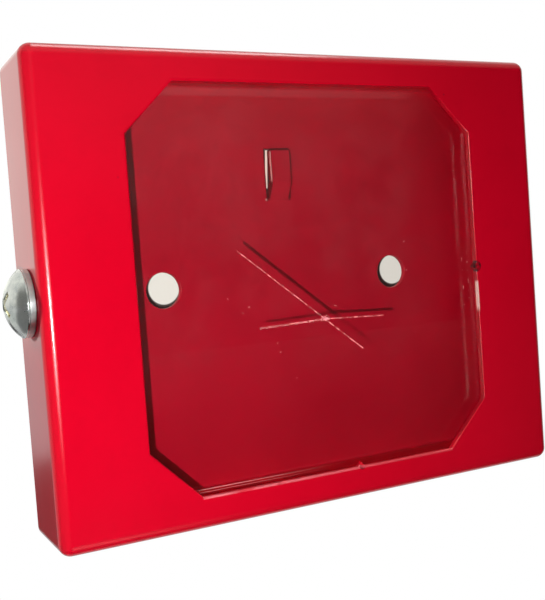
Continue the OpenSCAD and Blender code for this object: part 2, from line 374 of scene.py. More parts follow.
class Wire:
    """A number in a material, which can be used in sums."""

    def __init__(self, recipe, socket):
        self.recipe, self.socket = recipe, socket

    __add__ = __radd__ = operator("ADD")
    __mul__ = __rmul__ = operator("MULTIPLY")
    __sub__, __rsub__ = operator("SUBTRACT"), operator("SUBTRACT", True)
    __pow__, __abs__ = operator("POWER"), operator("ABSOLUTE")
    smaller, larger = operator("MINIMUM"), operator("MAXIMUM")

    def ease(self, low, high, to_low=0.0, to_high=1.0):
        """Smooth step from to_low, at low, to to_high, at high."""
        settings = {"interpolation_type": "SMOOTHSTEP"}
        return self.recipe.node("ShaderNodeMapRange", settings, [self, low, high, to_low, to_high])


class Recipe:
    """Builds the nodes of one finish, or of the world."""

    def __init__(self, owner):
        owner.use_nodes = True
        self.owner, self.tree = owner, owner.node_tree
        self.tree.nodes.clear()

    def node(self, kind, settings=None, inputs=(), out=0):
        """Adds a node: its settings first, then the values or wires of its inputs, by order or by name."""
        made = self.tree.nodes.new(kind)
        for key, value in (settings or {}).items():
            if key == "stops":
                ramp = made.color_ramp.elements
                while len(ramp) < len(value):
                    ramp.new(0.5)
                for stop, (place, colour) in zip(ramp, value):
                    stop.position, stop.color = place, (*colour, 1)
            else:
                setattr(made, key, value)
        for key, value in inputs.items() if isinstance(inputs, dict) else enumerate(inputs):
            socket = made.inputs[key]
            if isinstance(value, Wire):
                self.tree.links.new(value.socket, socket)
            elif value is not None:
                socket.default_value = (*value, 1) if socket.type == "RGBA" else value
        return Wire(self, made.outputs[out])

    def finish(self, shader, kind="ShaderNodeOutputMaterial"):
        """Wires the shader to the output and gives the finished material."""
        self.tree.links.new(shader.socket, self.tree.nodes.new(kind).inputs[0])
        return self.owner

    def place(self, scale=(1, 1, 1)):
        """The point on the piece, in metres of the box's own frame, stretched by scale."""
        point = self.node("ShaderNodeTexCoord", out="Object")
        return self.node("ShaderNodeMapping", {}, {"Vector": point, "Scale": scale})

    def parts(self, vector):
        return [self.node("ShaderNodeSeparateXYZ", {}, [vector], out=k) for k in range(3)]

    def axes(self):
        """The point's X, Y and Z in mm."""
        return self.parts(self.place((1000, 1000, 1000)))

    def noise(self, scale, detail, rough, stretch=(1, 1, 1)):
        inputs = {"Vector": self.place(stretch), "Scale": scale, "Detail": detail, "Roughness": rough}
        return self.node("ShaderNodeTexNoise", {}, inputs)

    def specks(self, scale, size, share):
        """Small round spots: a cell's centre shows where its random number is below share."""
        wires = {"Vector": self.place(), "Scale": scale, "Randomness": 1.0}
        near = self.node("ShaderNodeTexVoronoi", {}, wires, out="Distance")
        shade = self.node("ShaderNodeTexVoronoi", {}, wires, out="Color")
        pick = self.node("ShaderNodeSeparateColor", {}, [shade])
        return near.ease(size, size * 0.45) * pick.ease(share + 0.01, share)

    def blend(self, share, a, b, how="MIX"):
        """Colour a turning into colour b as share goes from 0 to 1."""
        settings = {"data_type": "RGBA", "blend_type": how}
        return self.node("ShaderNodeMix", settings, {0: share, 6: a, 7: b}, out=2)

    def bump(self, height, strength, reach, under=None):
        wires = {"Strength": strength, "Distance": reach, "Height": height, "Normal": under}
        return self.node("ShaderNodeBump", {}, wires)

    def shader(self, **sockets):
        """The principled shader, its sockets written with _ for a space."""
        named = {key.replace("_", " "): value for key, value in sockets.items()}
        return self.node("ShaderNodeBsdfPrincipled", {}, named)

    def metal(self, colour, roughness, normal):
        return self.finish(self.shader(Base_Color=colour, Metallic=1.0, Roughness=roughness, Normal=normal))

    def mirror(self, roughness, normal=None, **settings):
        wires = {"Color": (1, 1, 1), "Roughness": roughness, "Normal": normal}
        return self.node("ShaderNodeBsdfAnisotropic", settings, wires)

    def fresnel(self, ior, normal=None):
        return self.node("ShaderNodeFresnel", {}, {"IOR": ior, "Normal": normal})

    def mix(self, share, a, b):
        """Shader a turning into shader b as share goes from 0 to 1."""
        return self.node("ShaderNodeMixShader", {}, [share, a, b])

    def glow(self, colour):
        return self.node("ShaderNodeEmission", {}, {"Color": colour, "Strength": 1.0})

    def ray(self, kind):
        """1 for the rays of one kind, such as Camera or Shadow."""
        return self.node("ShaderNodeLightPath", out=f"Is {kind} Ray")

    def far_side(self):
        return self.node("ShaderNodeNewGeometry", out="Backfacing")


def new_finish(name):
    return Recipe(bpy.data.materials.new(name))


def away_from(u, v, at_u, at_v):
    """Distance in mm from a point, on two of the axes."""
    return ((u - at_u) ** 2 + (v - at_v) ** 2) ** 0.5


def enamel(name, deep, light, dust, gloss, painted_marks):
    """Powder coat: slow colour drift, orange peel, dust nibs and hazy handling marks under a clear skin."""
    r = new_finish(name)
    cloud = r.noise(140, 4, 0.6)
    colour = r.blend(r.noise(22, 3, 0.55).ease(0.3, 0.7), deep, light)
    colour = r.blend(cloud.ease(0.45, 0.75) * 0.10, colour, tuple(c * 0.72 for c in deep))
    nibs = r.specks(260, 0.10, dust)
    colour = r.blend(nibs * 0.55, colour, tuple(c * 0.35 for c in deep))
    # painted_marks paints shade and highlights into the colour, and gives a share of the gloss to take away
    colour, matt = painted_marks(r, colour, cloud)
    haze = r.noise(55, 5, 0.65, (1, 1, 0.35))
    normal = r.bump(r.noise(420, 1, 0.4) + nibs * 1.5, 0.10, 0.00004)
    paint = r.shader(Base_Color=colour, Roughness=0.6, Normal=normal, Specular_IOR_Level=0.0)
    sharp, soft = [r.mirror(haze.ease(0.35, 0.8, low, high) + nibs * 0.2, normal, distribution="BECKMANN")
                   for low, high in ((0.16, 0.20), (0.29, 0.33))]
    skin = r.fresnel(1.5, normal) * (gloss - matt * gloss)
    return r.finish(r.mix(skin, paint, r.mix(0.58, sharp, soft)))


def window_painted_light(r, colour, cloud):
    """Painted light on the cover: painted shade on the window's cut edge and at its two nibs, painted highlights on
    the bottom lip and the right cut edge, and a matt patch by the screw with the screw head's dark reflection and
    shadow painted in.
    """
    x, y, z = r.axes()
    # Painted shade on the window's cut edge, weaker towards the top and none at the bottom edge
    corner = (abs(x) + abs(z) - (WIN_X + WIN_Z - WIN_CUT)).ease(0.16, 0.0)
    cut = (abs(x) - WIN_X).ease(0.12, 0.0) * (abs(z) - WIN_Z).ease(0.12, 0.0) * corner
    cut = cut * y.ease(-BOX_D - 1, -BOX_D + 0.15) * z.ease(30, 52, 0.62, 0.30) * z.ease(-53.5, -50)
    colour = r.blend(cut, colour, (0.22, 0.004, 0.010))
    # Painted highlight along the front of the bottom lip, strongest at the left
    lip = abs(z + WIN_Z + 0.12).ease(0.55, 0.36) * (abs(x) - WIN_X + WIN_CUT).ease(0.4, 0.0)
    lip = lip * y.ease(-BOX_D + 0.9, -BOX_D + 0.5) * x.ease(34, -36, 0.25, 1.0)
    colour = r.blend(lip * cloud.ease(0.30, 0.46, 0.25, 1.0), colour, (1.0, 0.21, 0.25))
    # Painted highlight: a pale patch on the right cut edge below its nib
    painted_glint = abs(x - WIN_X).ease(0.45, 0.25) * y.ease(-24.0, -24.5) * z.ease(-4.2, -5.0) * z.ease(-14.5, -12.0)
    colour = r.blend(painted_glint * cloud.ease(0.36, 0.44), colour, (0.95, 0.62, 0.52))
    # Painted shade: dark at the side nib and the bottom nib
    painted_side_nib_shade = away_from(x, z, WIN_X, 0).ease(1.9, 1.5) * y.ease(-BOX_D - 1, -BOX_D + 0.05)
    painted_low_nib_shade = away_from(x, z, NIB_X, -WIN_Z).ease(1.1, 0.8) * y.ease(-BOX_D - 1, -BOX_D + 0.3)
    colour = r.blend(painted_side_nib_shade.larger(painted_low_nib_shade) * cloud.ease(0.62, 0.5), colour, (0.03, 0.008, 0.01))
    # Painted dark reflection and shadow of the screw head on the side face; the same mask takes away the gloss there
    painted_screw_shade = away_from(y, z, -15.0, -0.5).ease(9.5, 8.7) * x.ease(LEFT + 1.6, LEFT + 0.6)
    return r.blend(painted_screw_shade * 0.75, colour, (0.16, 0.0, 0.008)), painted_screw_shade * 0.72


def slit_painted_light(r, colour, cloud):
    """Painted light round the key hook: painted shadow along the slit's top and sides, a painted highlight along the
    tab's left edge and a painted glint beside its root.
    """
    x, y, z = r.axes()
    # Painted shadow: the tray darkened along the slit's top and sides
    top = abs(z - HOOK_TOP - HOOK_SLIT / 2).ease(0.62, 0.40) * abs(x).ease(4.1, 3.9)
    sides = abs(abs(x) - HOOK_HALF - HOOK_SLIT / 2).ease(0.72, 0.46)
    sides = sides * z.ease(HOOK_ROOT - 0.4, HOOK_ROOT + 1.0) * z.ease(HOOK_TOP + 0.7, HOOK_TOP + 0.4)
    colour = r.blend(top.larger(sides) * 0.86, colour, (0.17, 0.0, 0.002))
    # Painted highlight along the tab's left front edge
    painted_edge_highlight = (x + HOOK_HALF).ease(0.42, 0.22) * (x + HOOK_HALF).ease(-0.3, -0.1) * y.ease(-4.1, -4.35)
    painted_edge_highlight = painted_edge_highlight * z.ease(29.2, 30.6) * z.ease(HOOK_TOP - 0.2, HOOK_TOP - 1.0)
    # Painted glint beside the tab's root
    painted_glint = away_from(x, z, -HOOK_HALF - 0.75, HOOK_ROOT + 0.3).ease(0.42, 0.25)
    return r.blend(painted_edge_highlight.larger(painted_glint) * cloud.ease(0.30, 0.42, 0.7, 1.0), colour, (1.0, 0.38, 0.40)), 0.0


def zinc(name, rough, gold=0.0):
    """Bright zinc plate: clouded passivate, fine turning marks, painted shade where it meets the side face, yellow in
    the recess.
    """
    r = new_finish(name)
    cloud = r.noise(320, 4, 0.6)
    stops = [(0.25, (0.92, 0.97, 0.90)), (0.5, (1, 1, 1)), (0.75, (1.0, 0.95, 0.93))]
    film = r.node("ShaderNodeValToRGB", {"stops": stops}, [r.noise(90, 2, 0.5)])
    colour = r.blend(cloud.ease(0.35, 0.75), (0.70, 0.73, 0.70), (0.50, 0.54, 0.54))
    colour = r.blend(0.8, colour, film, "MULTIPLY")
    x, y, z = r.axes()
    if gold:
        out = away_from(y, z, SCREW_Y, 0)
        skin = (DOME_R ** 2 - out ** 2) ** 0.5 + (HEAD_TOP - DOME_R - LEFT)
        sunk = (skin + x).ease(0.12, 0.5) * out.ease(RECESS_SPAN / 2 + 0.3, RECESS_SPAN / 2 - 0.3)
        tint = r.blend(cloud.ease(0.35, 0.6), (0.50, 0.46, 0.30), (1.0, 0.97, 0.80))
        colour = r.blend(sunk * gold, colour, tint)
    # Painted shade: darker where the piece meets the cover's side face
    painted_contact_shade = (LEFT - x).ease(0.42, 0.12) * (LEFT - x).ease(-0.2, 0.0)
    colour = r.blend(painted_contact_shade * 0.9, colour, (0.10, 0.09, 0.09))
    roughness = cloud.ease(0.3, 0.8, rough - 0.05, rough + 0.12)
    normal = r.bump(r.noise(2600, 2, 0.5), 0.10, 0.00003, r.bump(cloud, 0.12, 0.0001))
    return r.metal(colour, roughness, normal)


def sheet_steel(name, grain):
    """Mill finish steel with rolling grain along the piece and a few dull stains."""
    r = new_finish(name)
    lines = r.noise(420, 5, 0.7, grain)
    stain = r.noise(60, 4, 0.6)
    colour = r.blend(lines.ease(0.3, 0.7), (0.50, 0.50, 0.49), (0.66, 0.66, 0.64))
    colour = r.blend(stain.ease(0.55, 0.8) * 0.35, colour, (0.40, 0.37, 0.33))
    roughness = lines.ease(0.2, 0.8, 0.28, 0.46) + stain.ease(0.5, 0.9) * 0.1
    normal = r.bump(lines, 0.2, 0.00005)
    return r.metal(colour, roughness, normal)


def copper_flash():
    """Thin copper on the weld studs, darker where it was handled."""
    r = new_finish("copper_flash")
    cloud = r.noise(500, 4, 0.6)
    colour = r.blend(cloud.ease(0.35, 0.75), (0.72, 0.40, 0.24), (0.48, 0.25, 0.15))
    roughness = cloud.ease(0.2, 0.8, 0.24, 0.42)
    normal = r.bump(cloud, 0.15, 0.00005)
    return r.metal(colour, roughness, normal)


def foam_tape():
    """Closed cell foam: dark, matt and finely pitted."""
    r = new_finish("foam_tape")
    cells = r.node("ShaderNodeTexVoronoi", {}, {"Vector": r.place(), "Scale": 3200.0}, out="Distance")
    colour = r.blend(cells.ease(0.1, 0.6), (0.035, 0.035, 0.037), (0.085, 0.085, 0.088))
    colour = r.blend(r.noise(240, 3, 0.6).ease(0.5, 0.8) * 0.3, colour, (0.13, 0.13, 0.13))
    roughness = cells.ease(0.1, 0.7, 0.95, 0.8)
    normal = r.bump(cells, 0.5, 0.00015)
    return r.finish(r.shader(Base_Color=colour, Roughness=roughness, Normal=normal, Sheen_Weight=0.15))


def along_score(x, z, a, b):
    """Distance in mm from the score line between a and b."""
    run_x, run_z = b[0] - a[0], b[1] - a[1]
    size = run_x ** 2 + run_z ** 2
    share = ((x - a[0]) * (run_x / size) + (z - a[1]) * (run_z / size)).larger(0.0).smaller(1.0)
    return away_from(x, z, share * run_x + a[0], share * run_z + a[1])


def clear_pane():
    """Clear sheet: sees through, mirrors a little, and is frosted on its sawn edges and along the score lines.

    The frost along the score lines is tinted pink and glows red, painted light for the tray's red seen through the
    cuts, and a score line throws its own shadow on the tray. Two frosted lines low on the pane and a light band under
    its top edge are painted highlights.
    """
    r = new_finish("clear_pane")
    x, y, z = r.axes()
    smear = r.noise(60, 4, 0.65)
    through = r.node("ShaderNodeBsdfTransparent", {}, {"Color": (0.925, 0.925, 0.90)})
    inside = r.far_side()
    skin = r.fresnel(1.49) * (1.0 - inside) + r.fresnel(1 / 1.49) * inside
    body = r.mix(skin, through, r.mirror(smear.ease(0.4, 0.8, 0.015, 0.04)))
    lines = [along_score(x, z, a, b) for a, b in SCORES]
    near = lines[0].smaller(lines[1]).smaller(lines[2])
    # Painted light: the frost near the score lines is tinted pink and glows red, and low on the pane it takes the
    # painted highlights' colour
    tint = r.blend(near.ease(0.6, 0.4), (0.88, 0.84, 0.84), (1.0, 0.46, 0.50))
    frost = r.shader(Base_Color=r.blend(z.ease(-52.0, -52.6), tint, (1.0, 0.30, 0.33)), Roughness=0.45,
                     Emission_Color=r.blend(near.ease(0.6, 0.4), (0.0, 0.0, 0.0), (0.40, 0.0, 0.003)),
                     Emission_Strength=1.0)
    shadow = r.ray("Shadow")
    seen = near.ease(0.24, 0.08) * r.noise(900, 3, 0.6).ease(0.42, 0.58, 0.12, 0.85) * (1.0 - shadow)
    cast = lines[0].ease(0.50, 0.40) * x.ease(1.5, 3.5, 0.95, 0.35)
    cast = cast.larger(lines[1].ease(0.42, 0.32) * 0.7).larger(lines[2].ease(0.46, 0.36) * 0.95)
    at_front = y.ease(-PANE_FRONT + 0.8, -PANE_FRONT + 0.5)
    groove = (seen + cast * shadow) * at_front
    haze = smear.ease(0.35, 0.75, 0.007, 0.020) * z.ease(-36, -4, 0.15, 1.0) * x.ease(26, 52, 1.0, 0.05)
    # Painted highlights: two frosted lines low on the pane, strongest at the left, and a light band under the top
    # edge
    crease = abs(z - LOW_HIGHLIGHT_LINES[0]).ease(0.19, 0.07) + abs(z - LOW_HIGHLIGHT_LINES[1]).ease(0.15, 0.05) * 0.6
    crease = crease * x.ease(4, -34, 0.0, 0.72) * x.ease(-43, -39)
    painted_light_band = z.ease(50.6, 51.6) * z.ease(54.0, 52.8) * x.ease(40, 30) * 0.034
    haze = haze.larger(crease).larger(painted_light_band) * (1.0 - shadow) * at_front
    sawn = (abs(x) - SAWN_X).ease(0.0, 0.4).larger((abs(z) - SAWN_Z).ease(0.0, 0.3)) * 0.7
    return r.finish(r.mix(groove.larger(sawn).larger(haze), body, frost))


def score_burr():
    """Raised, crushed edge of a score line: white to pink, sparkling, and glowing red, a painted light for the tray's
    red seen through the cut.
    """
    r = new_finish("score_burr")
    cloud = r.noise(1800, 2, 0.5)
    colour = r.blend(cloud.ease(0.3, 0.7), (1.0, 0.85, 0.90), (0.90, 0.60, 0.65))
    # Painted light: the flakes glow red
    red = r.blend(cloud.ease(0.3, 0.7), (0.30, 0.0, 0.003), (0.50, 0.0, 0.005))
    return r.finish(r.shader(Base_Color=colour, Roughness=cloud.ease(0.2, 0.8, 0.15, 0.4),
                             Specular_IOR_Level=0.8, Emission_Color=red, Emission_Strength=1.0))


RED = enamel("red_enamel", (0.80, 0.0004, 0.019), (0.85, 0.0008, 0.022), 0.06, 1.0, window_painted_light)
DARK_RED = enamel("tray_enamel", (0.72, 0.004, 0.030), (0.80, 0.006, 0.036), 0.16, 0.3, slit_painted_light)
ZINC = zinc("zinc_plate", 0.26)
WASHER_ZINC = zinc("washer_zinc", 0.36)
SCREW_ZINC = zinc("screw_zinc", 0.22, gold=0.9)
BAR_STEEL = sheet_steel("bar_steel", (1, 1, 0.06))
COPPER = copper_flash()
FOAM = foam_tape()
CLEAR = clear_pane()
BURR = score_burr()


# ---------------------------------------------------------------- cover

def window_loop():
    """Window outline with its cut corners and the two nibs, seen from the front."""
    x, z, c = WIN_X, WIN_Z, WIN_CUT
    return ccw([(c - x, z), (x - c, z), (x, z - c), (x, NIB_HALF), (x - NIB_H, 0), (x, -NIB_HALF), (x, c - z),
                (x - c, -z), (NIB_X + NIB_HALF, -z), (NIB_X, NIB_H - z), (NIB_X - NIB_HALF, -z),
                (c - x, -z), (-x, c - z), (-x, z - c)], False)


def cover_ring(grow, radius):
    """The cover's outline moved in by grow, with the same number of points at any corner radius."""
    points = []
    for k, (sx, sz) in enumerate(((1, 1), (-1, 1), (-1, -1), (1, -1))):
        cx, cz = sx * (BOX_W / 2 - grow - radius), sz * (BOX_H / 2 - grow - radius)
        for i in range(CORNER_STEPS + 1):
            a = QUARTER * (k + i / CORNER_STEPS)
            points.append((cx + radius * math.cos(a), cz + radius * math.sin(a)))
    return points


def key_box_cover():
    """Folded cover: front with its window, four sides, rounded bends, corners and cut edges."""
    bend, rim = quarter_turn(BEND_STEPS), quarter_turn(RIM_STEPS)
    rings = [(BEND_OUT * (1 - s), BEND_OUT * s, BOX_D - BEND_OUT + BEND_OUT * c) for s, c in bend]
    rings += [(REAR_RIM * (1 - c), BEND_OUT - REAR_RIM * (1 - c), REAR_GAP + REAR_RIM * (1 - s)) for s, c in rim]
    for s, c in reversed(rim):
        grow = SHEET - REAR_RIM * (1 - c)
        rings.append((grow, max(BEND_OUT - grow, 0.2), REAR_GAP + REAR_RIM * (1 - s)))
    rings += [(SHEET + BEND_IN * (1 - s), BEND_IN * s, FRONT_IN - BEND_IN + BEND_IN * c) for s, c in reversed(bend)]
    points = [(x, -depth, z) for grow, radius, depth in rings for x, z in cover_ring(grow, radius)]
    faces = bands(0, len(rings), 4 * (CORNER_STEPS + 1))
    window = window_loop()
    fronts = np.where(window[:, :1] < 0, LIP_LEFT, LIP_REST)
    fronts = np.where(window[:, 1:] < WIN_CUT / 2 - WIN_Z, LIP_LOW, fronts)
    for edge, grow, depth in ((fronts, rings[0][0], BOX_D), (LIP_BACK, rings[-1][0], FRONT_IN)):
        half_w, half_h = BOX_W / 2 - grow, BOX_H / 2 - grow
        outer = np.array([(half_w, half_h), (-half_w, half_h), (-half_w, -half_h), (half_w, -half_h)])
        spots, tris = filled(outer, [inset(window, edge)])
        first = len(points)
        points += [(x, -depth, z) for x, z in spots]
        faces += [tuple(first + i for i in f) for f in tris]
    lip = rolled_edge(fronts, LIP_BACK, FRONT_IN, BOX_D, LIP_STEPS)
    faces += bands(len(points), len(lip), len(window))
    for away, depth in lip:
        depths = np.broadcast_to(depth, (len(window), 1))
        points += [(x, -d, z) for (x, z), (d,) in zip(inset(window, away), depths)]
    return solid_piece("key_box_cover", points, faces, "cover", "red_enamel", RED, "cover")


def open_slot(cover):
    """Cuts the slot that lets the cover come off the loosened screw."""
    half = SHANK_R + 0.4
    turns = np.linspace(-QUARTER, QUARTER, 25)
    outline = [(half * math.sin(a), SCREW_Y - half * math.cos(a)) for a in turns] + [(half, 1.0), (-half, 1.0)]
    points = [(x, y, z) for x in (LEFT - 1, LEFT + SHEET + 1) for z, y in outline]
    n = len(outline)
    faces = [tuple(range(n)), tuple(range(2 * n - 1, n - 1, -1)), *bands(0, 2, n)]
    cutter = linked("slot_cutter", closed_mesh("slot_cutter", points, faces))
    cut = cover.modifiers.new("slot", "BOOLEAN")
    cut.operation, cut.solver, cut.object = "DIFFERENCE", "EXACT", cutter
    bpy.context.view_layer.update()
    fresh = bpy.data.meshes.new_from_object(cover.evaluated_get(bpy.context.evaluated_depsgraph_get()))
    cover.modifiers.clear()
    fresh.name = "key_box_cover"
    cover.data = fresh
    even_normals(fresh, 48)
    bpy.data.objects.remove(cutter)


# ---------------------------------------------------------------- wall tray

def hook_section():
    """Height and lean of the hook's tab along v, from its root over its knee."""
    steep = math.atan(HOOK_RISE / (HOOK_KNEE - KNEE_BACK - HOOK_ROOT))
    grid = np.linspace(HOOK_ROOT, HOOK_KNEE + HOOK_BEND, 400)
    up = np.clip((grid - HOOK_ROOT) / HOOK_BEND, 0, 1)
    down = np.clip((HOOK_KNEE + HOOK_BEND - KNEE_BACK - grid) / HOOK_BEND, 0, 1)
    tilt = np.minimum(up, down) * steep
    rise = np.concatenate([[0], np.cumsum(np.tan(tilt[1:]) * np.diff(grid))])
    return grid, rise * HOOK_RISE / rise[-1], tilt


def wall_tray():
    """Folded tray: plate with wall holes and the lanced hook, and four flanges."""
    bend, start = TRAY_BEND * QUARTER, TRAY_BEND + SHEET / 2
    flat_u, flat_v = TRAY_W / 2 - start, TRAY_H / 2 - start
    end_u, end_v = flat_u + bend + SIDE_FLANGE - start, flat_v + bend + EDGE_FLANGE - start
    side_v, top_u = TRAY_H / 2 - RELIEF, TRAY_W / 2 - RELIEF
    fold_u = bend_path((0, SHEET / 2), [(flat_u,), (TRAY_BEND, 90), (end_u,)])
    fold_v = bend_path((0, SHEET / 2), [(flat_v,), (TRAY_BEND, 90), (end_v,)])
    us, vs = [[s * (flat + bend * k / 7) for s in (-1, 1) for k in range(8)] for flat in (flat_u, flat_v)]
    quarter = [(end_u, side_v), (top_u, side_v), (top_u, end_v)]
    outer = quarter + [(-x, z) for x, z in reversed(quarter)] + [(-x, -z) for x, z in quarter]
    outer = split_edges(outer + [(x, -z) for x, z in reversed(quarter)], us, vs)
    knots = [base + HOOK_BEND * k / 5 for base in (HOOK_ROOT, HOOK_KNEE - KNEE_BACK) for k in range(6)]
    tab, gap, blunt = HOOK_HALF, HOOK_HALF + HOOK_SLIT, 0.5
    slit = [(-gap, HOOK_ROOT), (-gap, HOOK_TOP + HOOK_SLIT), (gap, HOOK_TOP + HOOK_SLIT), (gap, HOOK_ROOT),
            (tab, HOOK_ROOT), (tab, HOOK_TOP - blunt), (tab - blunt, HOOK_TOP), (blunt - tab, HOOK_TOP),
            (-tab, HOOK_TOP - blunt), (-tab, HOOK_ROOT)]
    nut_u = -(flat_u + bend - SCREW_Y - start)
    holes = [ring_of(s * WALL_HOLE_X, 0, WALL_HOLE_R, 72) for s in (-1, 1)]
    holes += [split_edges(slit, vs=knots[1:]), ring_of(nut_u, 0, NUT_HOLE_R)]
    small = TRAY_EDGE
    edges = [(small, small), (HOLE_EDGE,) * 2, (HOLE_EDGE,) * 2, (small, SLIT_BACK_EDGE), (small, small)]
    lines = [((u, small - side_v), (u, side_v - small)) for u in us]
    lines += [((small - top_u, v), (top_u - small, v)) for v in vs]
    lines += [((small - tab, v), (tab - small, v)) for v in knots]

    def fold(points):
        u, v, t = points.T
        x, z, depth = u.copy(), v.copy(), t.copy()
        off = t - SHEET / 2
        for run, flat, path, moved in ((u, flat_u, fold_u, x), (v, flat_v, fold_v, z)):
            bent = np.abs(run) > flat - 1e-6
            px, py, turn = path(np.abs(run))
            moved[bent] = (np.sign(run) * (px - off * np.sin(turn)))[bent]
            depth[bent] = (py + off * np.cos(turn))[bent]
        grid, rise, tilt = hook_section()
        on_tab = (np.abs(u) < tab + 0.01) & (v > HOOK_ROOT) & (v < HOOK_TOP + 0.01)
        lean = np.interp(v, grid, tilt)
        z[on_tab] = (v - t * np.sin(lean))[on_tab]
        depth[on_tab] = (np.interp(v, grid, rise) + t * np.cos(lean))[on_tab]
        return np.stack([x, -depth, z], 1)

    points, faces = cut_sheet(outer, holes, SHEET, edges, fold, lines)
    solid_piece("wall_tray_sheet", points, faces, "wall_tray", "tray_enamel", DARK_RED, "back_tray")


# ---------------------------------------------------------------- clamp bars and pads

def clamp_bar(side, name):
    """One folded bar that presses the pane, with two stud holes and rounded cut edges."""
    foot = FOOT_OUT - RISER_MID - BAR_BEND
    riser = FRONT_IN - BAR_T / 2 - (PANE_FRONT - PANE_T - 1 - BAR_T / 2) - 2 * BAR_BEND
    lip = RISER_MID - BAR_BEND - LIP_IN
    arc = BAR_BEND * QUARTER
    path = bend_path((0, 0), [(foot,), (BAR_BEND, -90), (riser,), (BAR_BEND, 90), (lip,)])
    marks = [base + arc * k / 5 for base in (foot, foot + arc + riser) for k in range(6)]
    total = foot + 2 * arc + riser + lip
    outer = split_edges([(0, -BAR_HALF), (total, -BAR_HALF), (total, BAR_HALF), (0, BAR_HALF)], marks)
    holes = [ring_of(FOOT_OUT - STUD_X, s * STUD_Z, STUD_R + 0.15, 28) for s in (-1, 1)]
    lines = [((m, BAR_EDGE - BAR_HALF), (m, BAR_HALF - BAR_EDGE)) for m in marks]

    def fold(points):
        w, v, t = points.T
        run, drop, turn = path(w)
        off = t - BAR_T / 2
        run, drop = run - off * np.sin(turn), drop + off * np.cos(turn)
        return np.stack([side * (FOOT_OUT - run), -(FRONT_IN - BAR_T / 2 + drop), v], 1)

    points, faces = cut_sheet(outer, holes, BAR_T, [(BAR_EDGE,) * 2] * 3, fold, lines)
    dress = ("cover", "plain_steel", BAR_STEEL, f"{name}_clamp_bar")
    solid_piece(f"{name}_pane_clamp", points, faces, *dress)


def foam_pad(side, name):
    """A squeezed foam strip: bulging edges, slightly uneven along its length."""
    low, high = [np.array(corner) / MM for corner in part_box(f"{name}_pad")]
    cx, cy, _ = (low + high) / 2
    half_w, half_t, _ = (high - low) / 2
    count, stations = 28, np.linspace(low[2], high[2], 160)
    side_bulge, face_bulge, section = 0.42, 0.30, []
    for k in range(count):
        c, s = math.cos(FULL * k / count), math.sin(FULL * k / count)
        section.append((math.copysign(abs(c) ** side_bulge, c), math.copysign(abs(s) ** face_bulge, s)))
    points = []
    for k, z in enumerate(stations):
        end = min(1.0, (min(k, len(stations) - 1 - k) * 0.35 + 0.55))
        swell = end * (0.955 + 0.03 * math.sin(z * 1.7) + 0.015 * math.sin(z * 4.1 + side))
        points += [(cx + half_w * swell * sx, cy + half_t * (0.4 + 0.6 * end) * sy, z) for sx, sy in section]
    ends = [tuple(range(count)), tuple(range(len(points) - 1, len(points) - 1 - count, -1))]
    faces = bands(0, len(stations), count) + ends
    made = solid_piece(f"{name}_foam_pad", points, faces, "cover", "soft_pad", FOAM, f"{name}_pad", 60)


# ---------------------------------------------------------------- repeated pieces by node trees

def node_tree(name, **inputs):
    """A tree for a modifier: gives its inputs, a way to add nodes, and one to set a shape at the points."""
    tree = bpy.data.node_groups.new(name, "GeometryNodeTree")
    kinds = {"Geometry": "Geometry", **inputs, "Material": "Material"}
    for label, kind in kinds.items():
        tree.interface.new_socket(name=label, in_out="INPUT", socket_type=f"NodeSocket{kind}")
    tree.interface.new_socket(name="Geometry", in_out="OUTPUT", socket_type="NodeSocketGeometry")
    given = tree.nodes.new("NodeGroupInput").outputs
    leave = tree.nodes.new("NodeGroupOutput")

    def add(kind, links, settings=None):
        made = tree.nodes.new(kind)
        for key, value in (settings or {}).items():
            setattr(made, key, value)
        for key, value in links.items():
            if hasattr(value, "node"):
                tree.links.new(value, made.inputs[key])
            else:
                made.inputs[key].default_value = value
        return made.outputs

    def close(shape, **links):
        put = add("GeometryNodeInstanceOnPoints", {"Points": given["Geometry"], "Instance": shape, **links})
        real = add("GeometryNodeRealizeInstances", {"Geometry": put[0]})
        coat = add("GeometryNodeSetMaterial", {"Geometry": real[0], "Material": given["Material"]})
        tree.links.new(coat[0], leave.inputs[0])
        return tree

    return given, add, close


def repeat_tree():
    """Sets one shape at every point."""
    given, add, close = node_tree("repeat_at_points", Shape="Object")
    shape = add("GeometryNodeObjectInfo", {"Object": given["Shape"]})
    return close(shape["Geometry"])


def helix_tree():
    """Winds a ridge into a thread at every point."""
    given, add, close = node_tree("thread_at_points", Radius="Float", Pitch="Float", Length="Float",
                                  Ridge="Float", Tilt="Vector", Steps="Int")
    turns = add("ShaderNodeMath", {0: given["Length"], 1: given["Pitch"]}, {"operation": "DIVIDE"})
    coil = add("GeometryNodeCurveSpiral", {
        "Resolution": given["Steps"], "Rotations": turns[0], "Start Radius": given["Radius"],
        "End Radius": given["Radius"], "Height": given["Length"]})
    section = add("GeometryNodeCurvePrimitiveCircle", {"Resolution": 4, "Radius": given["Ridge"]}, {"mode": "RADIUS"})
    ridge = add("GeometryNodeCurveToMesh", {"Curve": coil[0], "Profile Curve": section[0], "Fill Caps": True})
    return close(ridge[0], Rotation=given["Tilt"])


def burr_tree():
    """Scatters small flakes at the points, each with its own random turn and size."""
    given, add, close = node_tree("burr_flakes", Shape="Object", Smallest="Float", Largest="Float", Seed="Int")
    shape = add("GeometryNodeObjectInfo", {"Object": given["Shape"]})
    size = add("FunctionNodeRandomValue", {2: given["Smallest"], 3: given["Largest"], "Seed": given["Seed"]},
               {"data_type": "FLOAT"})
    turn = add("FunctionNodeRandomValue", {"Min": (-0.25, -3.14, -0.25), "Max": (0.25, 3.14, 0.25),
                                           "Seed": given["Seed"]}, {"data_type": "FLOAT_VECTOR"})
    return close(shape["Geometry"], Rotation=turn[0], Scale=size[1])


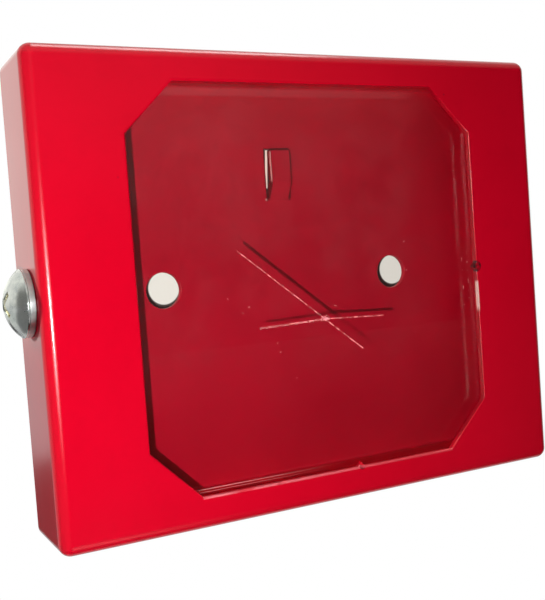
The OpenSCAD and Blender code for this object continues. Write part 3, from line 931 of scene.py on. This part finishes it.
def knurl_tree():
    """Sets ribs side by side round a ring, and the ring at every point."""
    given, add, close = node_tree("knurl_ring", Shape="Object", Count="Int", Radius="Float", Tilt="Vector")
    shape = add("GeometryNodeObjectInfo", {"Object": given["Shape"]})
    circle = add("GeometryNodeMeshCircle", {"Vertices": given["Count"], "Radius": given["Radius"]},
                 {"fill_type": "NONE"})
    index = add("GeometryNodeInputIndex", {})
    step = add("ShaderNodeMath", {0: FULL, 1: given["Count"]}, {"operation": "DIVIDE"})
    angle = add("ShaderNodeMath", {0: index[0], 1: step[0]}, {"operation": "MULTIPLY"})
    spin = add("ShaderNodeCombineXYZ", {"Z": angle[0]})
    ring = add("GeometryNodeInstanceOnPoints", {
        "Points": circle[0], "Instance": shape["Geometry"], "Rotation": spin[0]})
    laid = add("GeometryNodeTransform", {"Geometry": ring[0], "Rotation": given["Tilt"]})
    return close(laid[0])


def grown(name, tree, values, points, body, slot_name, finish, node=None, crease=40):
    """Runs a tree on a set of points in mm and keeps its result as a plain piece."""
    seedbed = bpy.data.meshes.new(name)
    seedbed.from_pydata([Vector(p) * MM for p in points], [], [])
    obj = linked(name + "_seed", seedbed)
    grow = obj.modifiers.new(name, "NODES")
    grow.node_group = tree
    values = {**values, "Material": finish}
    for item in tree.interface.items_tree:
        if item.in_out == "INPUT" and item.name in values:
            grow[item.identifier] = values[item.name]
    bpy.context.view_layer.update()
    result = bpy.data.meshes.new_from_object(obj.evaluated_get(bpy.context.evaluated_depsgraph_get()))
    result.name = name
    for used in (obj, values.get("Shape")):
        if used:
            bpy.data.objects.remove(used)
    return dressed(name, result, body, slot_name, finish, node, crease)


def prototype(name, points, faces):
    """A small shape in mm that a tree repeats, removed once the tree has run."""
    return linked(name, closed_mesh(name, points, faces))


def hexagon_nut(base, height, flats, place):
    """Hexagon nut with both ends chamfered and a countersunk bore."""
    count, bore, top, sink = 72, STUD_R + 0.05, base + height, 0.3
    face, points = flats / 2 * 0.985, []
    for a in [FULL * k / count for k in range(count)]:
        off = a - math.pi / 6
        wall = flats / 2 / math.cos(off - round(off / (math.pi / 3)) * math.pi / 3)
        drop = (wall - face) * math.tan(math.pi / 6)
        column = [(base, face), (base + drop, wall), (top - drop, wall), (top, face),
                  (top, bore + sink), (top - sink, bore), (base + sink, bore), (base, bore + sink)]
        points += [place(h, r * math.cos(a), r * math.sin(a)) for h, r in column]
    return points, bands(0, count, 8, closed=True)


def stud_fasteners():
    """Weld studs with their threads, flat washers and hexagon nuts, at the four places."""
    places = [(sx * STUD_X, 0, sz * STUD_Z) for sx in (-1, 1) for sz in (-1, 1)]
    tops = [(x, -FRONT_IN + 1.7, z) for x, _, z in places]
    repeat = repeat_tree()

    def upright(h, p, q):
        return (p, h - FRONT_IN, q)

    def at_places(name, shape, *dress):
        grown(name, repeat, {"Shape": prototype(name + "_shape", *shape)}, places, "cover", *dress)

    core = [(0, 0), (0, STUD_R), (1.5, STUD_R), (1.5, STUD_CORE), (STUD_LEN - 0.35, STUD_CORE),
            (STUD_LEN, STUD_R - 0.6), (STUD_LEN, 0)]
    at_places("weld_studs", turned(core, 32, upright), "copper_flash", COPPER, "pane_studs")
    grown("weld_stud_threads", helix_tree(), {
        "Radius": (STUD_R - 0.17) * MM, "Pitch": STUD_PITCH * MM, "Length": STUD_THREAD_LEN * MM,
        "Ridge": STUD_RIDGE * MM, "Tilt": (-QUARTER, 0, 0), "Steps": 24}, tops, "cover", "copper_flash", COPPER)
    seat, hole = BAR_T + STUD_WASHER_T, STUD_R + 0.15
    ring = [(BAR_T, hole), (seat, hole), (seat, STUD_WASHER_R), (BAR_T, STUD_WASHER_R)]
    shape = turned(rounded_profile(ring, 0.12, 2), 40, upright)
    at_places("clamp_washers", shape, "zinc_steel", ZINC, "stud_washers")
    shape = hexagon_nut(seat, STUD_NUT_H, STUD_NUT_FLATS, upright)
    at_places("clamp_nuts", shape, "zinc_steel", ZINC, "stud_nuts")


def score_burrs():
    """Crushed flakes along the score lines, thickest where they cross, and a few on the pane's small nicks."""
    rng = np.random.default_rng(7)
    spots = []
    for a, b in SCORES:
        a, b = np.array(a), np.array(b)
        run = b - a
        length = np.linalg.norm(run)
        across = np.array([-run[1], run[0]]) / length
        s = 0.0
        while s < 1:
            s += rng.uniform(0.15, 0.9) / length
            if rng.random() < 0.35:
                s += rng.uniform(0.4, 2.2) / length
            if s < 1:
                spots.append(a + run * s + across * rng.normal(0, 0.05))
    spots += [np.array(SCORE_CROSS) + (rng.normal(-0.5, 0.75), rng.normal(0.15, 0.42)) for _ in range(90)]
    for x, z in NICKS:
        spots += [(x + rng.normal(0, 0.2), z + rng.normal(0, 0.2)) for _ in range(2)]
    # Painted reflection dashes near the window's right edge
    for x, z, low in EDGE_REFLECTION_DASHES:
        while z > low:
            z -= rng.choice((0.3, 0.35, 2.4))
            spots.append((x + rng.normal(0, 0.05), z))
    points = [(x, -PANE_FRONT - 0.01, z) for x, z in spots]
    flake = prototype("flake", [(-0.22, 0, -0.05), (0.22, 0, -0.07), (0.05, 0, 0.09), (0, -0.10, 0.01), (0, 0.06, 0)],
                      [(0, 1, 3), (1, 2, 3), (2, 0, 3), (1, 0, 4), (2, 1, 4), (0, 2, 4)])
    grown("score_line_burrs", burr_tree(), {"Shape": flake, "Smallest": 0.3, "Largest": 1.1, "Seed": 5},
          points, "cover", "clear_plastic", BURR, crease=10)


# ---------------------------------------------------------------- side screw

def recess_depth(p, q):
    """How deep the cross recess is at a point of the head, with softly rolled edges."""
    c, narrowing, shallowing = math.sqrt(0.5), 0.30, 0.62
    deepest = 0.0
    for along, across in ((c * (p + q), c * (q - p)), (c * (q - p), c * (p + q))):
        out = min(1.0, abs(along) / (RECESS_SPAN / 2))
        half = RECESS_W / 2 * (1 - narrowing * out)
        wall = min(1.0, max(0.0, (half + 0.10 - abs(across)) / 0.22))
        end = min(1.0, max(0.0, (RECESS_SPAN / 2 + 0.08 - abs(along)) / 0.5))
        floor = RECESS_DEEP * (1 - shallowing * out ** 1.2)
        deepest = max(deepest, floor * wall * wall * (3 - 2 * wall) * end)
    return deepest


def dome_height(r):
    return HEAD_TOP - DOME_R + math.sqrt(DOME_R ** 2 - r ** 2)


def side_screw():
    """Domed head with its stamped recess and rim, and a plain core under the wound thread."""
    count, step, recess_rings, outer_rings = 168, 0.09, 45, 20
    radii = [step * k for k in range(1, recess_rings + 1)]
    radii += list(np.linspace(radii[-1], HEAD_R - 0.22, outer_rings)[1:])
    turns = [(math.cos(FULL * k / count), math.sin(FULL * k / count)) for k in range(count)]
    points = [on_screw_axis(HEAD_TOP - recess_depth(0, 0), 0, 0)]
    points += [on_screw_axis(dome_height(r) - recess_depth(r * c, r * s), r * c, r * s)
               for r in radii for c, s in turns]
    edge, core = dome_height(radii[-1]), SHANK_R - THREAD_DEEP
    below = [(edge - 0.10, HEAD_R - 0.07), (edge - 0.24, HEAD_R), (HEAD_SEAT + 0.12, HEAD_R),
             (HEAD_SEAT, HEAD_R - 0.14), (HEAD_SEAT, SHANK_R + 0.3), (HEAD_SEAT - 0.3, SHANK_R),
             (HEAD_SEAT - 2.3, SHANK_R), (HEAD_SEAT - 3.0, core), (SHANK_END + 1.2, core), (SHANK_END, core - 0.9)]
    points += [on_screw_axis(h, r * c, r * s) for h, r in below for c, s in turns]
    faces = [(0, 1 + k, 1 + (k + 1) % count) for k in range(count)]
    faces += bands(1, len(radii) + len(below), count)
    faces.append(tuple(range(len(points) - count, len(points))))
    solid_piece("domed_side_screw", points, faces, "screw", "zinc_steel", SCREW_ZINC, "side_screw", 40)
    start = on_screw_axis(SHANK_END + 0.9, 0, 0)
    grown("side_screw_thread", helix_tree(), {
        "Radius": (SHANK_R - RIDGE) * MM, "Pitch": PITCH * MM, "Length": THREAD_LEN * MM, "Ridge": RIDGE * MM,
        "Tilt": (0, -QUARTER, 0), "Steps": 48}, [start], "screw", "zinc_steel", ZINC, crease=35)


def screw_washer():
    """Flat washer with rolled edges under the head."""
    hole = SHANK_R + 0.15
    ring = [(SEAT_AIR, hole), (HEAD_SEAT, hole), (HEAD_SEAT, WASHER_R, 0.22), (SEAT_AIR, WASHER_R, 0.12)]
    points, faces = turned(rounded_profile(ring, 0.12, 4), 144, on_screw_axis)
    solid_piece("flat_screw_washer", points, faces, "washer", "zinc_steel", WASHER_ZINC, "screw_washer", 40)


def rivet_nut():
    """Collar, knurled barrel and the upset bulge behind the tray's flange, with a threaded bore."""
    face, end = NUT_FACE, NUT_FACE - NUT_LEN
    inner, bore = face - SHEET, SHANK_R + 0.05
    barrel, collar, bulge, widest = NUT_BARREL_R, NUT_COLLAR_R, 6.1, 6.5
    outline = [(face + NUT_COLLAR_T, bore + 0.3, 0), (face + NUT_COLLAR_T, collar, 0.25), (face, collar, 0.2),
               (face, barrel, 0), (inner, barrel, 0), (inner - 0.1, bulge, 0.3), (inner - 1.5, widest, 0.6),
               (inner - 2.9, bulge, 0.3), (inner - 3.0, barrel, 0.1), (end, barrel, 0.4), (end, bore + 0.3, 0)]
    ring = rounded_profile(outline, 0.0, 4)
    groove, h = 0.35, end + 0.3
    while h < face + 1.2:
        ring += [(h, bore), (h + PITCH * 0.5, bore + groove)]
        h += PITCH
    points, faces = turned(ring, 96, on_screw_axis)
    solid_piece("threaded_rivet_nut", points, faces, "wall_tray", "zinc_steel", ZINC, "rivet_nut", 40)
    half, rise = 0.16, 0.17
    section = ((-half, 0), (half, 0), (0, rise))
    rib = prototype("knurl_rib", [(dx, dy, dz) for dx in (0, KNURL_LEN) for dy, dz in section],
                    [(0, 1, 2), (3, 5, 4), (0, 3, 4, 1), (1, 4, 5, 2), (2, 5, 3, 0)])
    rib.data.transform(Matrix.Rotation(QUARTER, 4, "Z") @ Matrix.Rotation(QUARTER, 4, "Y"))
    sizes = {"Shape": rib, "Count": KNURLS, "Radius": KNURL_R * MM, "Tilt": (0, QUARTER, 0)}
    place = on_screw_axis(inner - 3.4, 0, 0)
    grown("rivet_nut_knurl", knurl_tree(), sizes, [place], "wall_tray", "zinc_steel", ZINC)


# ---------------------------------------------------------------- studio

def stage_card(name, corners, finish):
    """A flat card of the studio, its corners in mm."""
    mesh = bpy.data.meshes.new(name)
    mesh.from_pydata([Vector(c) * MM for c in corners], [], [tuple(range(len(corners)))])
    mesh.materials.append(finish)
    card = linked(name, mesh)
    return card


def upright_card(name, y, box, finish):
    x0, x1, z0, z1 = box
    return stage_card(name, [(x0, y, z0), (x1, y, z0), (x1, y, z1), (x0, y, z1)], finish)


def wall_card(name, box, r, paper, glow, strength):
    """A dark card behind an opening of the tray, with the wall's lit patches painted on as a glow and its dark paper
    as painted shade: the eye sees it, and it throws no shade on the box.
    """
    board = r.shader(Base_Color=paper, Roughness=0.8, Emission_Color=glow, Emission_Strength=strength)
    finish = r.finish(r.mix(r.far_side(), board, r.node("ShaderNodeBsdfTransparent")))
    card = upright_card(name, CARD_Y, box, finish)
    card.visible_diffuse = card.visible_glossy = card.visible_shadow = False


def pale_floor():
    """White to the eye and to glass, grey to the lamps, and in gloss only where the photograph shows it."""
    r = new_finish("pale_floor")
    x, y, _ = r.axes()
    gloss = r.ray("Glossy")
    back = (y - x.ease(-150, -300) * 380).ease(0, 60)
    near_patch = x.ease(-90, -50) * x.ease(120, 80) * y.ease(-640, -580) * y.ease(-200, -260)
    shown = back * 0.7 + (1.0 - back) * (x.ease(-180, -340) * 0.19 + near_patch * 0.8)
    share = (r.ray("Camera") + r.ray("Transmission") + gloss * shown).smaller(1.0)
    paper = r.shader(Base_Color=(0.86, 0.86, 0.86), Roughness=0.9)
    gloom = r.shader(Base_Color=(0.01, 0.01, 0.01), Roughness=0.9)
    finish = r.finish(r.mix(share, r.mix(gloss, paper, gloom), r.glow((1, 1, 1))))
    corners = [(-4000, -4000, FLOOR_Z), (4000, -4000, FLOOR_Z), (4000, 6000, FLOOR_Z), (-4000, 6000, FLOOR_Z)]
    stage_card("floor", corners, finish)


def wall_cards():
    """What shows through the two wall holes and the hook's slit, painted as glowing patches on dark cards, and two
    cloths that only gloss shows.
    """
    r = new_finish("painted_lit_wall_card")
    x, _, z = r.axes()
    # Painted light: glowing discs where the wall is lit through the holes; the dark paper round them is painted shade
    left, right = [away_from(x, z, cx, 0.5).ease(4.95, 4.6) for cx in (-36.4, 44.0)]
    glow = r.blend(left + right * 0.84, (0.0, 0.0, 0.0), (1.0, 0.965, 0.92))
    wall_card("wall_card", HOLE_CARD, r, (0.10, 0.095, 0.09), glow, 0.96)
    r = new_finish("painted_lit_hook_card")
    x, _, z = r.axes()
    # Painted light: the lit strip of wall seen through the slit beside the hook's tab
    across = x - (z - 40.9) * 0.0705
    lit = across.ease(0.88, 0.74) * across.ease(-0.02, 0.12) * z.ease(28.4, 28.8)
    glow = r.blend(lit, (0.0, 0.0, 0.0), (1.0, 0.72, 0.64))
    wall_card("hook_card", HOOK_CARD, r, (0.06, 0.02, 0.02), glow, 1.05)
    r = new_finish("dark_cloth")
    weave = r.blend(r.noise(300, 3, 0.6), (0.010, 0.010, 0.011), (0.018, 0.018, 0.020))
    finish = r.finish(r.glow(weave))
    for box in DARK_CLOTHS:
        cloth = upright_card("dark_cloth", CLOTH_Y, box, finish)
        cloth.visible_camera = cloth.visible_diffuse = cloth.visible_shadow = cloth.visible_transmission = False


def studio_air():
    """White to the eye and to glass, and a soft room with a pale backdrop for the gloss."""
    world = bpy.data.worlds.new("studio")
    bpy.context.scene.world = world
    r = Recipe(world)
    dx, dy, dz = r.parts(r.node("ShaderNodeTexCoord", out="Generated"))
    gloss = r.ray("Glossy")
    left = dx.ease(0.16, -0.14)
    wing = dx.ease(0.05, -0.30) * ((0.0 - dz).larger(0.0) * 0.62 + 0.18)
    behind = (dy - wing).ease(-0.05, 0.05)
    room = left * 0.215 + (1.0 - left) * (dx.ease(0.68, 0.40) * dz.ease(-0.04, 0.22) * 0.18 + 0.004)
    room = room + dz.ease(0.36, 0.66) * 0.5
    backdrop = dz.ease(-0.35, 0.22, 0.62, 1.0) + dy.ease(0.86, 0.96) * 0.32
    level = gloss * (behind * backdrop + (1.0 - behind) * room) + (1.0 - gloss) * 0.018
    warm = r.node("ShaderNodeBackground", {}, {"Color": (1.0, 0.985, 0.93), "Strength": level})
    white = r.node("ShaderNodeBackground", {}, {"Color": (1, 1, 1), "Strength": 1.0})
    plain = (r.ray("Camera") + r.ray("Transmission")).smaller(1.0)
    r.finish(r.mix(plain, warm, white), "ShaderNodeOutputWorld")


def lamp(name, place, aim, size, power, gloss=False):
    """A soft lamp; one with two sizes is a rectangle, and one without gloss isn't seen in reflections."""
    data = bpy.data.lights.new(name, "AREA")
    data.energy = power
    if isinstance(size, tuple):
        data.shape, data.size, data.size_y = "RECTANGLE", *size
    else:
        data.shape, data.size = "DISK", size
    obj = linked(name, data)
    obj.location = place
    obj.rotation_euler = (Vector(aim) - Vector(place)).to_track_quat("-Z", "Y").to_euler()
    obj.visible_camera = False
    obj.visible_glossy = gloss


def photo_camera():
    """The photograph's camera, solved from the box's own edges."""
    data = bpy.data.cameras.new("camera")
    data.sensor_width = SENSOR
    data.lens = FOCAL_PX * SENSOR / PHOTO_HEIGHT
    data.clip_start, data.clip_end = 0.01, 50
    right = Vector((0.8881, -0.4539, -0.0725)).normalized()
    ahead = Vector((0.4518, 0.8910, -0.0450)).normalized()
    up = right.cross(ahead).normalized()
    turn = Matrix((ahead.cross(up), up, -ahead)).transposed()
    cam = linked("camera", data)
    cam.matrix_world = Matrix.Translation(Vector((-0.12948, -0.24813, 0.00682))) @ turn.to_4x4()
    bpy.context.scene.camera = cam


open_slot(key_box_cover())
wall_tray()
for side, name in ((-1, "left"), (1, "right")):
    clamp_bar(side, name)
    foam_pad(side, name)
stud_fasteners()
rivet_nut()
screw_washer()
side_screw()
score_burrs()
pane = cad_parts["pane"]
pane.data.materials.clear()
pane.data.materials.append(CLEAR)

pale_floor()
wall_cards()
studio_air()
photo_camera()
lamp("key", (-0.130, -0.205, -0.012), (-0.02, -0.02, 0), 0.0024, 0.366, gloss=True)
lamp("low_fill", (-0.01, -0.20, -0.20), (0.0, -0.02, -0.05), 0.08, 0.040)
lamp("front_fill", (-0.35, -1.10, 0.50), (0, 0, 0), 0.5, 0.9)
lamp("side_fill", (-0.28, 0.22, 0.25), (-0.08, -0.01, 0), 0.12, 0.56)
lamp("overhead", (0.19, 0.0, 0.70), (0.0, 0, 0), (0.30, 0.34), 1.9, gloss=True)

bpy.context.scene.view_settings.view_transform = "Standard"
